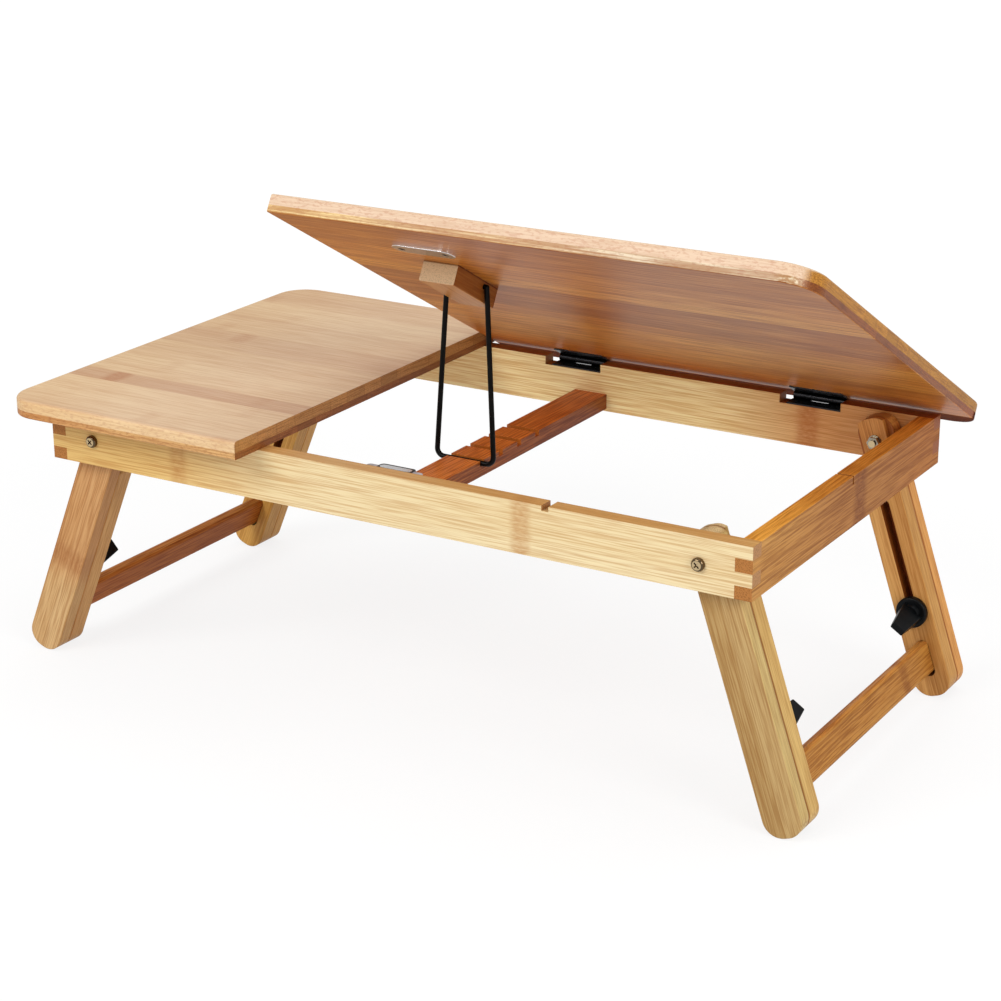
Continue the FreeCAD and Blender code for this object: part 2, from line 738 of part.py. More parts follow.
def build():
    parts = {}
    screw_right = pair(pivot_screw())
    dowels = pair(stop_dowel(RIGHT_SPLAY)) + [mirror_x(s) for s in pair(stop_dowel(LEFT_SPLAY))]
    lower_screws = []
    lower_rooms = []
    upper_screws = []
    upper_rooms = []
    for x in HINGE_XS:
        for crown in leaf_crowns(x, NOTCH_FLOOR + LEAF_T):
            lower_screws.append(wood_screw(crown, DOWN, LEAF_T))
            lower_rooms.append(wood_screw_room(crown, DOWN, LEAF_T))
        for crown in leaf_crowns(x, FRAME_TOP - LEAF_T):
            upper_screws.append(wood_screw(crown, UP, LEAF_T))
            upper_rooms.append(wood_screw_room(crown, UP, LEAF_T))
    strike_rooms = [wood_screw_room(c, UP, STRIKE_T) for c in strike_crowns()]
    catch_rooms = [catch_screw_room(c) for c in catch_crowns()]
    pivot_rooms = four_corners(
        rod(
            Vector(PIVOT_X, INNER_W - 1, PIVOT_Z),
            Vector(PIVOT_X, FRAME_W / 2 + 1, PIVOT_Z),
            SCREW_R,
        )
    )

    rail_tools = pivot_rooms + dowels
    notches = [hinge_notch(x) for x in HINGE_XS]
    parts["front_rail"] = mirror_y(long_rail()).cut(rail_tools + [cord_notch()] + catch_rooms)
    parts["back_rail"] = long_rail().cut(rail_tools + notches + lower_rooms)
    parts["left_end_rail"] = mirror_x(end_rail())
    parts["right_end_rail"] = end_rail().cut([rail_kerf()])
    parts["prop_rack"] = prop_rack()

    upper, lower = top_plies(-TOP_L / 2, SPLIT_X, -TOP_L / 2, SPLIT_X)
    parts["fixed_top_upper_ply"] = upper
    parts["fixed_top_lower_ply"] = lower
    parts["catch_body"] = catch_body().cut(catch_rooms)
    parts["catch_cap"] = catch_cap()
    parts["catch_pole"] = catch_pole()
    parts["catch_screws"] = Part.makeCompound([catch_screw(c) for c in catch_crowns()])

    parts["left_hinge_lower_leaf"] = lower_leaf(HINGE_XS[0]).cut(lower_rooms)
    parts["right_hinge_lower_leaf"] = lower_leaf(HINGE_XS[1]).cut(lower_rooms)
    parts["hinge_pins"] = Part.makeCompound([hinge_pin(x) for x in HINGE_XS])
    parts["hinge_lower_screws"] = Part.makeCompound(lower_screws)

    parts["right_pivot_screws"] = Part.makeCompound(screw_right)
    parts["left_pivot_screws"] = Part.makeCompound([mirror_x(s) for s in screw_right])
    nuts = pair(pivot_nut())
    parts["right_pivot_nuts"] = Part.makeCompound(nuts)
    parts["left_pivot_nuts"] = Part.makeCompound([mirror_x(s) for s in nuts])
    washers = [w for one in pivot_washers() for w in pair(one)]
    parts["right_pivot_washers"] = Part.makeCompound(washers)
    parts["left_pivot_washers"] = Part.makeCompound([mirror_x(s) for s in washers])
    parts["leg_stop_dowels"] = Part.makeCompound(dowels)

    upper, lower = top_plies(TILT_X0, TILT_X1, TILT_X1, TILT_X0)
    tools = upper_rooms + strike_rooms
    parts["tilting_top_upper_ply"] = tilted(upper.cut(tools))
    parts["tilting_top_lower_ply"] = tilted(lower.cut(tools))
    parts["prop_block"] = tilted(prop_block())
    parts["strike_plate"] = tilted(strike_plate().cut(strike_rooms))
    parts["strike_screws"] = Part.makeCompound(
        [tilted(wood_screw(c, UP, STRIKE_T)) for c in strike_crowns()]
    )
    parts["left_hinge_upper_leaf"] = tilted(upper_leaf(HINGE_XS[0]).cut(upper_rooms))
    parts["right_hinge_upper_leaf"] = tilted(upper_leaf(HINGE_XS[1]).cut(upper_rooms))
    parts["hinge_upper_screws"] = Part.makeCompound([tilted(s) for s in upper_screws])

    parts["wire_prop"] = wire_prop()

    for name, board_shape in (("upper_leg", upper_leg), ("lower_leg", lower_leg)):
        right, left = board_shape(RIGHT_SPLAY), mirror_x(board_shape(LEFT_SPLAY))
        parts["right_back_" + name] = right
        parts["right_front_" + name] = mirror_y(right)
        parts["left_back_" + name] = left
        parts["left_front_" + name] = mirror_y(left)
    parts["right_knob_studs"] = Part.makeCompound(pair(stud(RIGHT_SPLAY)))
    parts["left_knob_studs"] = Part.makeCompound([mirror_x(s) for s in pair(stud(LEFT_SPLAY))])
    parts["right_stretcher"] = stretcher(RIGHT_SPLAY)
    parts["left_stretcher"] = mirror_x(stretcher(LEFT_SPLAY))
    for name in KNOB_TURNS:
        parts[name] = placed_knob(name)
    return parts


def foot_edge(splay):
    """How far out a foot reaches from the frame's middle."""
    a = radians(splay)
    return PIVOT_X + (leg_reach(splay) - FOOT_R) * sin(a) + FOOT_FLAT * cos(a) + FOOT_R


# The two ends splay by different amounts, so the frame stands off the middle of its footprint.
SHIFT_X = (foot_edge(LEFT_SPLAY) - foot_edge(RIGHT_SPLAY)) / 2

os.makedirs("parts", exist_ok=True)
for node, shape in build().items():
    shape.translate(Vector(SHIFT_X, 0, 0))
    shape.exportStep("parts/" + node + ".step")
    print(node, round(shape.Volume, 1), len(shape.Solids), shape.isValid())
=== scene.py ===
from math import cos, radians, sin

import bpy
from mathutils import Matrix, Vector


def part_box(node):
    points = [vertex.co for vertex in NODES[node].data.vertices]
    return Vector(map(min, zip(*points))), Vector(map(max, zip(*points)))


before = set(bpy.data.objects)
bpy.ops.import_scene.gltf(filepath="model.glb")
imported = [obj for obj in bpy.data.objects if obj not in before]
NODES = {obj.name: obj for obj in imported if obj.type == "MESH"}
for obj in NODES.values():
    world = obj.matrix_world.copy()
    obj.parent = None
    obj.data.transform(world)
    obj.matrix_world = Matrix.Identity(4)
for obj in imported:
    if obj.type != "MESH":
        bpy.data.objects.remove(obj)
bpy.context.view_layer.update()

X = Vector((1, 0, 0))
Y = Vector((0, 1, 0))
Z = Vector((0, 0, 1))

# Places on the desk, in metres from its front rail's box. The desk's length lies along X.

TILT = radians(28.92)
SPLAYS = {"left": radians(22.6), "right": radians(18.5)}
RAIL_HEIGHT = 0.036
HINGE_FROM_TOP = Vector((0, 0.1561, -0.0031))
PIVOT_OUT = 0.2408
PIVOT_DOWN = 0.018

rail_low, rail_high = (Vector(c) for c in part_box("front_rail"))
MIDDLE = Vector(((rail_low.x + rail_high.x) / 2, 0, 0))
FRAME_LOW = MIDDLE + Z * rail_low.z
FRAME_TOP = MIDDLE + Z * rail_high.z
HINGE_LINE = FRAME_TOP + HINGE_FROM_TOP
PANEL_ACROSS = Vector((0, cos(TILT), -sin(TILT)))
PANEL_NORMAL = Vector((0, sin(TILT), cos(TILT)))


class Nodes:
    """A node tree with short calls for the nodes that the materials and the stage need."""

    def __init__(self, tree):
        self.tree = tree

    def node(self, kind):
        return self.tree.nodes.new("ShaderNode" + kind)

    def put(self, value, socket):
        if isinstance(value, bpy.types.NodeSocket):
            self.tree.links.new(value, socket)
        elif socket.type == "RGBA":
            socket.default_value = (*value, 1)
        else:
            socket.default_value = value

    def math(self, op, *values):
        n = self.node("Math")
        n.operation = op
        for value, socket in zip(values, n.inputs):
            self.put(value, socket)
        return n.outputs[0]

    def add(self, a, b):
        return self.math("ADD", a, b)

    def subtract(self, a, b):
        return self.math("SUBTRACT", a, b)

    def multiply(self, a, b):
        return self.math("MULTIPLY", a, b)

    def inverse(self, a):
        return self.subtract(1.0, a)

    def absolute(self, a):
        return self.math("ABSOLUTE", a)

    def vector_math(self, op, output, *values):
        n = self.node("VectorMath")
        n.operation = op
        for value, socket in zip(values, n.inputs):
            self.put(value, socket)
        return n.outputs[output]

    def dot(self, vector, axis):
        return self.vector_math("DOT_PRODUCT", "Value", vector, axis)

    def vec(self, x, y, z):
        n = self.node("CombineXYZ")
        for value, socket in zip((x, y, z), n.inputs):
            self.put(value, socket)
        return n.outputs[0]

    def noise(self, vector, scale, detail, rough):
        n = self.node("TexNoise")
        self.put(vector, n.inputs["Vector"])
        n.inputs["Scale"].default_value = scale
        n.inputs["Detail"].default_value = detail
        n.inputs["Roughness"].default_value = rough
        return n.outputs["Fac"]

    def voronoi(self, vector, scale):
        n = self.node("TexVoronoi")
        self.put(vector, n.inputs["Vector"])
        n.inputs["Scale"].default_value = scale
        return n.outputs["Distance"]

    def random(self, value, shift):
        n = self.node("TexWhiteNoise")
        n.noise_dimensions = "1D"
        self.put(self.add(value, shift), n.inputs["W"])
        return n.outputs["Value"]

    def ramp(self, value, stops):
        n = self.node("ValToRGB")
        self.put(value, n.inputs[0])
        elements = n.color_ramp.elements
        while len(elements) < len(stops):
            elements.new(0.5)
        for element, (at, color) in zip(elements, stops):
            element.position = at
            element.color = (*color, 1)
        return n.outputs[0]

    def span(self, value, low, high, low_to, high_to, kind="LINEAR"):
        n = self.node("MapRange")
        n.interpolation_type = kind
        self.put(value, n.inputs["Value"])
        for key, number in (
            ("From Min", low), ("From Max", high), ("To Min", low_to), ("To Max", high_to)
        ):
            n.inputs[key].default_value = number
        return n.outputs[0]

    def step(self, value, low, high, low_to=0.0, high_to=1.0):
        return self.span(value, low, high, low_to, high_to, "SMOOTHSTEP")

    def above(self, value, at, edge):
        """1 where the value is over a limit that is soft by the edge."""
        return self.step(value, at - edge, at + edge)

    def below(self, value, at, edge):
        return self.inverse(self.above(value, at, edge))

    def mix(self, fac, a, b, blend="MIX"):
        n = self.node("Mix")
        n.data_type = "RGBA"
        n.blend_type = blend
        for value, socket in ((fac, n.inputs[0]), (a, n.inputs[6]), (b, n.inputs[7])):
            self.put(value, socket)
        return n.outputs[2]

    def tint(self, fac, base, gain):
        return self.mix(fac, base, self.mix(1.0, base, gain, "MULTIPLY"))

    def mix_shader(self, fac, a, b):
        n = self.node("MixShader")
        for value, socket in zip((fac, a, b), n.inputs):
            self.put(value, socket)
        return n.outputs[0]


class Shader(Nodes):
    """A material with one Principled shader."""

    def __init__(self, name):
        self.mat = bpy.data.materials.new(name)
        self.mat.use_nodes = True
        super().__init__(self.mat.node_tree)
        self.bsdf = self.tree.nodes["Principled BSDF"]
        coords = self.node("TexCoord")
        self.place = coords.outputs["Object"]
        self.normal = coords.outputs["Normal"]

    def facing(self, axis, low, high):
        """1 where the surface faces along the axis, whichever way."""
        return self.step(self.absolute(self.dot(self.normal, axis)), low, high)

    def bump(self, height, strength, distance):
        n = self.node("Bump")
        self.put(height, n.inputs["Height"])
        n.inputs["Strength"].default_value = strength
        n.inputs["Distance"].default_value = distance
        self.put(n.outputs[0], self.bsdf.inputs["Normal"])

    def set(self, **values):
        for key, value in values.items():
            self.put(value, self.bsdf.inputs[key.replace("_", " ")])


# Wood. Palettes are sRGB and run from the darkest strip to the lightest.

PALE = ((200, 162, 136), (218, 186, 156), (229, 202, 172))
STRAW = ((204, 160, 98), (222, 190, 134), (236, 214, 166))
TAN = ((168, 122, 66), (196, 152, 96), (214, 178, 124))
AMBER = ((134, 74, 36), (174, 106, 52), (198, 134, 78))
CORE = ((146, 86, 46), (180, 118, 68), (202, 146, 94))

FACING = (0.6, 0.85)  # how squarely a surface faces an axis before it counts as facing it
GLUE_WIDTH = 0.0005
ACCENT_EDGE = 0.0004
MARK_EDGE = 0.0006
JOINT_EDGE = (0.002, 0.009)  # a joint band fades out between these distances
JOINT_RAGGED = 0.010
JOINT_SHIFT = 3.7  # how many gaps a strip's joints are shifted by, at most

# Added to a board's seed for each of its random draws
TONE_DRAW = 0.37
START_DRAW = 5.1
SHARE_DRAW = 9.3

# The leg boards, from the pivot down (u), from the board's middle (v) and from the desk's (w)
LEG_SEAM_AT = 0.1291
LEG_SEAM_EDGE = (0.0007, 0.0016)
SLOT_SIDE = (0.0045, 0.0055)
SLOT_FLOOR = (0.1262, 0.1268)
SLOT_START = (0.034, 0.040)
SLOT_WALL_FACING = (0.5, 0.7)
SLOT_SHADE = (0.36, 0.17, 0.09)


def linear(color):
    return tuple(
        c / 255 / 12.92 if c / 255 <= 0.04045 else ((c / 255 + 0.055) / 1.055) ** 2.4
        for c in color
    )


def times(color, *gain):
    return tuple(c * g for c, g in zip(color, gain if len(gain) == 3 else gain * 3))


class Bamboo(Shader):
    """A board's own coordinates, u along its fibres, v across its strips and w square to both,
    and the layers of its look, each painted over the one before."""

    def __init__(self, name, palette, gain, along, across, origin, dash, strip, shift, seed):
        super().__init__(name)
        self.low, self.mid, self.high = (times(linear(c), *gain) for c in palette)
        self.dark = times(self.low, 0.80, 0.62, 0.42)
        self.along, self.across, self.flat = along, across, along.cross(across)
        place = self.vector_math("SUBTRACT", 0, self.place, origin)
        self.u, self.v, self.w = (
            self.dot(place, axis) for axis in (self.along, self.across, self.flat)
        )
        self.seed = seed

        strips = self.math("DIVIDE", self.add(self.v, shift), strip)
        self.cell = self.math("FLOOR", strips)
        self.tone = self.random(self.cell, seed + TONE_DRAW)
        from_middle = self.absolute(self.subtract(self.math("FRACT", strips), 0.5))
        self.seam = self.step(from_middle, 0.5 - GLUE_WIDTH / strip, 0.5)

        self.drift = self.grain(5.0, 70.0, 3.0, 0.55)
        self.fibre = self.grain(dash, 1000.0, 2.0, 0.55)
        self.coarse = self.grain(10.0, 500.0, 3.0, 0.6)
        self.speck = self.grain(240.0, 700.0, 2.0, 0.6)

    def grain(self, lengthwise, crosswise, detail, rough):
        """Noise drawn out along the fibres."""
        stretched = self.vec(self.multiply(self.u, lengthwise), self.multiply(self.v, crosswise),
                             self.multiply(self.w, crosswise))
        return self.noise(stretched, 1.0, detail, rough)

    def strips(self, accents, contrast):
        level = self.add(self.multiply(self.tone, 0.62), self.multiply(self.drift, 0.55))
        level = self.subtract(level, 0.08)
        level = self.span(level, 0.0, 1.0, 0.5 - contrast / 2, 0.5 + contrast / 2)
        for low, high, depth in accents:
            inside = self.multiply(self.above(self.v, low, ACCENT_EDGE),
                                   self.below(self.v, high, ACCENT_EDGE))
            level = self.subtract(level, self.multiply(inside, depth))
        return self.ramp(level, ((0.0, self.low), (0.45, self.mid), (0.95, self.high)))

    def fibres(self, base, streak):
        """Dark fibres and veins, a sheen between them, and a thin glue line between strips."""
        lines = self.step(self.fibre, 0.45, 0.63)
        veins = self.step(self.coarse, 0.45, 0.66)
        sheen = self.inverse(self.step(self.fibre, 0.34, 0.50))
        bright = times(self.high, 1.08, 1.1, 1.12)
        base = self.mix(self.multiply(lines, streak * 0.60), base, self.dark)
        base = self.mix(self.multiply(veins, streak * 0.45), base, self.dark)
        base = self.mix(self.multiply(sheen, streak * 0.30), base, bright)
        return self.mix(self.multiply(self.seam, 0.28), base, self.dark)

    def joints(self, base, bands, band_gap, marks):
        """The plant's joints: a short brown band with specks, at its own place in each strip."""
        jitter = self.multiply(self.subtract(self.coarse, 0.5), JOINT_RAGGED)
        start = self.multiply(self.random(self.cell, self.seed + START_DRAW), JOINT_SHIFT)
        turn = self.math("FRACT", self.add(self.math("DIVIDE", self.u, band_gap), start))
        away = self.multiply(self.absolute(self.subtract(turn, 0.5)), band_gap)
        band = self.inverse(self.step(self.add(away, jitter), *JOINT_EDGE))
        share = self.multiply(self.random(self.cell, self.seed + SHARE_DRAW), bands)
        band = self.multiply(band, share)
        for at, low, high, half, depth in marks:
            off = self.absolute(self.subtract(self.u, at))
            mark = self.inverse(self.step(self.add(off, jitter), half * 0.3, half))
            mark = self.multiply(mark, self.above(self.v, low, MARK_EDGE))
            mark = self.multiply(mark, self.below(self.v, high, MARK_EDGE))
            band = self.math("MAXIMUM", band, self.multiply(mark, depth))
        band = self.multiply(band, self.span(self.speck, 0.35, 0.65, 0.55, 1.15))
        return self.mix(band, base, times(self.low, 0.78, 0.56, 0.42))

    def sides(self, base, side_tone_and_light, flat_tone_and_light, fleck):
        """Faces along the strips' edges and faces across them differ in tone, partly the wood's
        own edge grain and partly painted light and shade for how light falls on each face.
        """
        if side_tone_and_light:
            facing = self.facing(self.across, *FACING)
            base = self.tint(facing, base, side_tone_and_light)
            if fleck:
                flecks = self.multiply(self.step(self.speck, 0.50, 0.62), fleck)
                base = self.mix(self.multiply(facing, flecks), base,
                                times(self.low, 0.95, 0.78, 0.72))
        if flat_tone_and_light:
            base = self.tint(self.facing(self.flat, *FACING), base, flat_tone_and_light)
        return base

    def end_grain(self, base, end, layers):
        """Cut ends: pores, a tone for each strip, glue lines and the lines of thin layers."""
        pores = self.step(self.voronoi(self.vec(self.v, self.w, self.u), 1100.0), 0.15, 0.55)
        tone = self.mix(self.tone, times(end, 0.82), times(end, 1.14))
        cut = self.mix(pores, times(end, 0.62), tone)
        cut = self.mix(self.multiply(self.seam, 0.6), cut, times(end, 0.5, 0.42, 0.35))
        if layers:
            sheet = self.vec(self.multiply(self.v, 45.0), self.multiply(self.w, 1300.0),
                             self.multiply(self.u, 1300.0))
            sheet = self.step(self.noise(sheet, 1.0, 2.0, 0.6), 0.46, 0.62)
            cut = self.mix(self.multiply(sheet, layers), cut, times(end, 0.42, 0.30, 0.22))
        return self.mix(self.facing(self.along, *FACING), base, cut)

    def tints(self, base, tints):
        for axis, start, end, gain in tints:
            amount = self.step((self.u, self.v, self.w)[axis], min(start, end), max(start, end))
            if start > end:
                amount = self.inverse(amount)
            base = self.tint(amount, base, gain)
        return base

    def leg_seam_shade(self, base, strength):
        """The line where two leg boards meet, darkened as painted shade in the groove between
        them.
        """
        off = self.absolute(self.subtract(self.absolute(self.w), LEG_SEAM_AT))
        near = self.inverse(self.step(off, *LEG_SEAM_EDGE))
        return self.mix(self.multiply(near, strength), base, times(self.low, 0.62, 0.36, 0.16))

    def leg_slot(self, base, part):
        """The slot's walls or its floor, which stay in shade."""
        near = self.inverse(self.step(self.absolute(self.v), *SLOT_SIDE))
        if part == "walls":
            inside = self.facing(self.across, *SLOT_WALL_FACING)
        else:
            deep = self.inverse(self.step(self.absolute(self.w), *SLOT_FLOOR))
            inside = self.multiply(deep, self.step(self.u, *SLOT_START))
        return self.tint(self.multiply(near, inside), base, SLOT_SHADE)


def bamboo(name, palette, along, across, origin=MIDDLE, gain=(1, 1, 1), strip=0.0215, shift=0.0,
           seed=0.0, contrast=1.0, accents=(), dash=34.0, streak=0.5, bands=0.35, band_gap=0.31,
           marks=(), side_tone_and_light=None, flat_tone_and_light=None, fleck=0.0, end_color=None, layers=0.0,
           tints=(), seam=None, slot=None, rough=0.40, matt=None, gloss=0.22, coat=0.04):
    """Laminated bamboo, in the coordinates of its board.

    strip, shift and seed: the strips' width, their offset, and what their random tones start from
    contrast, accents: the range of the tones, and darker strips as (from v, to v, depth)
    dash, streak: how short the fibres are, and how strong
    bands, band_gap: the strength and spacing of the plant's joints, which fall at random
    marks: the joints that stand out in the photo, as (u, from v, to v, half width, depth)
    side_tone_and_light, flat_tone_and_light, fleck: the tone of faces along v and along w, partly
    painted light and shade, and flecks on the first
    end_color, layers: the colour of the cut ends, and the strength of thin layers in them
    tints: slow changes of tone, some of them painted light and shade, as (0, 1 or 2 for u, v or
    w, from, to, gain)
    seam, slot: on the legs, the strength of the painted shade in the line between boards, and
    "walls" or "floor"
    matt: where the gloss ends, as (from v, to v)
    """
    wood = Bamboo(name, palette, gain, along, across, origin, dash, strip, shift, seed)
    base = wood.strips(accents, contrast)
    base = wood.fibres(base, streak)
    base = wood.joints(base, bands, band_gap, marks)
    base = wood.sides(base, side_tone_and_light, flat_tone_and_light, fleck)
    end = times(linear(end_color), *gain) if end_color else times(wood.mid, 0.7)
    base = wood.end_grain(base, end, layers)
    base = wood.tints(base, tints)
    if seam:
        base = wood.leg_seam_shade(base, seam)
    if slot:
        base = wood.leg_slot(base, slot)

    roughness = wood.span(wood.fibre, 0.3, 0.7, rough - 0.03, rough + 0.07)
    if matt:
        roughness = wood.math("MAXIMUM", roughness, wood.step(wood.v, *matt))
    wood.set(Base_Color=base, Roughness=roughness,
             Coat_Weight=coat, Coat_Roughness=0.18, Specular_IOR_Level=gloss)
    relief = wood.add(wood.multiply(wood.fibre, 0.7), wood.multiply(wood.coarse, 0.5))
    wood.bump(relief, 0.12, 0.0004)
    return wood.mat


def metal(name, color, rough, grime=0.25, face=None):
    """Metal with a worn tone. Faces along an axis may have a colour of their own, which paints
    light and shade between them and the other faces.
    """
    s = Shader(name)
    fine = s.noise(s.place, 900.0, 3.0, 0.6)
    worn = s.noise(s.place, 160.0, 2.0, 0.5)
    tone = s.mix(s.multiply(s.step(worn, 0.4, 0.75), grime), color, times(color, 0.55))
    if face:
        axis, face_color = face
        tone = s.mix(s.facing(axis, 0.93, 0.98), tone, face_color)
    s.set(Base_Color=tone, Metallic=1.0,
          Roughness=s.span(fine, 0.3, 0.7, rough * 0.8, rough * 1.25))
    s.bump(fine, 0.05, 0.0001)
    return s.mat


def plastic(name, color, rough, bump=0.25, shine=0.45):
    s = Shader(name)
    grain = s.noise(s.place, 2600.0, 2.0, 0.6)
    cloud = s.noise(s.place, 120.0, 2.0, 0.5)
    lighter = tuple(c * 1.7 + 0.001 for c in color)
    s.set(Base_Color=s.mix(s.step(cloud, 0.35, 0.7), color, lighter),
          Roughness=s.span(grain, 0.3, 0.7, rough - 0.06, rough + 0.08),
          Specular_IOR_Level=shine)
    s.bump(grain, bump, 0.00006)
    return s.mat


def dress(mat, *names):
    for name in names:
        for slot in NODES[name].material_slots:
            slot.material = mat


# The two tops, each of a pale upper ply and a brown lower one

# The plies' edge faces are made paler by their side gains, as painted light.
dress(bamboo("fixed_face", PALE, X, Y, gain=(0.98, 0.98, 0.90), shift=0.003, seed=3.0,
             accents=((-0.1105, -0.089, 0.50), (-0.0245, -0.003, 0.30), (0.0185, 0.040, 0.42)),
             streak=0.42, bands=0.2,
             marks=((-0.261, -0.1105, -0.089, 0.011, 0.75), (-0.243, 0.0185, 0.040, 0.012, 0.4)),
             side_tone_and_light=(1.10, 1.10, 0.98), fleck=0.4, end_color=(190, 137, 82), layers=0.5,
             tints=((0, -0.17, -0.30, (0.98, 0.94, 0.84)),)),
      "fixed_top_upper_ply")
dress(bamboo("fixed_core", CORE, X, Y, seed=8.0, streak=0.75,
             side_tone_and_light=(1.30, 1.72, 1.9), fleck=0.35, end_color=(150, 92, 46), layers=0.6,
             tints=((0, -0.17, -0.30, (0.86, 0.66, 0.5)),)),
      "fixed_top_lower_ply")
dress(bamboo("tilt_face", PALE, X, PANEL_ACROSS, HINGE_LINE, gain=(0.97, 0.97, 0.94),
             shift=0.004, seed=12.0, streak=0.35,
             side_tone_and_light=(1.0, 1.0, 1.04), fleck=0.5, end_color=(190, 130, 50), layers=0.55),
      "tilting_top_upper_ply")
# The underside's edge faces are lightened as painted light. Its tints give a warmer tone near the
# hinge, a dark strip along the hinge gap as painted shade, a paler, bluer right end as a painted
# reflection and a lighter left end as painted light.
dress(bamboo("tilt_core", CORE, X, PANEL_ACROSS, HINGE_LINE, gain=(1.18, 1.00, 0.37), seed=21.0,
             contrast=1.7, dash=20.0, streak=1.1,
             side_tone_and_light=(1.5, 3.1, 12.0), fleck=0.3, end_color=(138, 76, 32), layers=0.6,
             tints=((1, -0.07, -0.01, (1.15, 0.98, 0.85)),
                    (1, -0.003, 0.001, (0.30, 0.20, 0.15)),
                    (0, 0.07, 0.20, (0.95, 1.06, 1.4)),
                    (0, 0.02, -0.05, (1.12, 1.16, 1.0))),
             rough=0.34, matt=(-0.004, 0.0), gloss=0.36, coat=0.0),
      "tilting_top_lower_ply")

# The frame's rails, each one strip high

ONE_STRIP = 0.05  # wider than the bars and rails that are cut from one strip

# Its top face is darkened as painted shade under the tops, and its left part as painted shade
# under the fixed top's overhang.
dress(bamboo("front_rail_wood", STRAW, X, Z, FRAME_LOW, gain=(1.02, 1.10, 1.24),
             strip=RAIL_HEIGHT, seed=4.0, dash=20.0, streak=0.62, bands=0.0,
             marks=((0.1131, 0.0, RAIL_HEIGHT, 0.010, 0.55),
                    (-0.164, 0.0, RAIL_HEIGHT, 0.010, 0.45)),
             side_tone_and_light=(0.95, 0.80, 0.60), end_color=(172, 118, 66),
             tints=((0, -0.04, -0.20, (0.93, 0.76, 0.46)),)),
      "front_rail")
# Its gain, brighter than the front rail's, is painted light on its inner face, and its top face
# is darkened as painted shade under the tilting top.
dress(bamboo("back_rail_wood", STRAW, X, Z, FRAME_LOW, gain=(1.36, 1.55, 1.7),
             strip=RAIL_HEIGHT, seed=6.0, dash=20.0, streak=0.75, bands=0.0,
             marks=((0.181, 0.0, RAIL_HEIGHT, 0.012, 0.75),),
             side_tone_and_light=(0.42, 0.18, 0.08), end_color=(168, 110, 58),
             tints=((0, 0.09, 0.20, (0.66, 0.40, 0.27)),)),
      "back_rail")
# Their faces toward X are darkened as painted shade, and their top faces are lightened as painted
# light.
dress(bamboo("end_rail_wood", AMBER, Y, Z, FRAME_LOW, gain=(1.2, 1.2, 0.85),
             strip=ONE_STRIP, seed=2.0, dash=32.0, streak=0.8, bands=0.0,
             marks=((0.012, 0.0, RAIL_HEIGHT, 0.014, 0.65),),
             side_tone_and_light=(1.10, 1.12, 0.84), flat_tone_and_light=(0.70, 0.72, 0.76),
             end_color=(138, 84, 50),
             tints=((0, 0.0, -0.14, (1.25, 1.45, 1.5)), (0, 0.02, 0.15, (0.98, 0.85, 0.62))),
             gloss=0.12, coat=0.0),
      "left_end_rail", "right_end_rail")

# The bars: the prop's rack and block, and the slat that joins each pair of legs

# Its faces toward X are darkened as painted shade.
dress(bamboo("rack_wood", AMBER, Y, X, gain=(1.52, 1.22, 0.72), strip=ONE_STRIP,
             shift=ONE_STRIP / 2, seed=5.0, streak=1.1, bands=0.0,
             side_tone_and_light=(0.46, 0.44, 0.42), tints=((0, -0.03, -0.12, (1.1, 1.25, 1.2)),)),
      "prop_rack")
# Its faces toward X are darkened as painted shade and its lower face lightened as painted light.
# The tint's dark band where it meets the panel is painted shade in that gap, over a glue line.
dress(bamboo("block_wood", CORE, PANEL_ACROSS, X, HINGE_LINE, gain=(1.12, 1.04, 0.70),
             strip=ONE_STRIP, shift=ONE_STRIP / 2, seed=9.0, bands=0.1,
             side_tone_and_light=(0.66, 0.59, 0.44), flat_tone_and_light=(1.25, 1.5, 1.5),
             end_color=(212, 186, 172), tints=((2, -0.0018, -0.0026, (0.42, 0.28, 0.18)),)),
      "prop_block")
# The slats share one palette: the left slat's darker, redder gain is painted shade, and both
# slats' top faces are lightened as painted light.
dress(bamboo("right_slat_wood", AMBER, Y, Z, gain=(1.06, 1.24, 0.84), strip=ONE_STRIP,
             seed=7.0, streak=0.85, bands=0.0, marks=((0.066, -1.0, 1.0, 0.008, 0.45),),
             side_tone_and_light=(1.2, 1.15, 1.2), gloss=0.12, coat=0.0),
      "right_stretcher")
dress(bamboo("left_slat_wood", AMBER, Y, Z, gain=(0.84, 0.66, 0.30), strip=ONE_STRIP,
             seed=17.0, streak=0.9, bands=0.0,
             side_tone_and_light=(1.2, 1.5, 2.5), gloss=0.12, coat=0.0),
      "left_stretcher")
dress(bamboo("dowel_wood", STRAW, Y, X, seed=1.0), "leg_stop_dowels")

# The legs: the gains of the upper and of the lower board, and what differs from leg to leg

LEG_GAINS = {
    "left_front": ((0.96, 0.84, 0.80), (1.08, 1.00, 0.88)),
    "left_back": ((1.30, 1.22, 0.82), (1.25, 1.22, 0.80)),
    "right_front": ((0.86, 0.94, 0.94), (1.00, 1.04, 0.95)),
    "right_back": ((1.08, 0.80, 0.53), (0.97, 0.82, 0.60)),
}
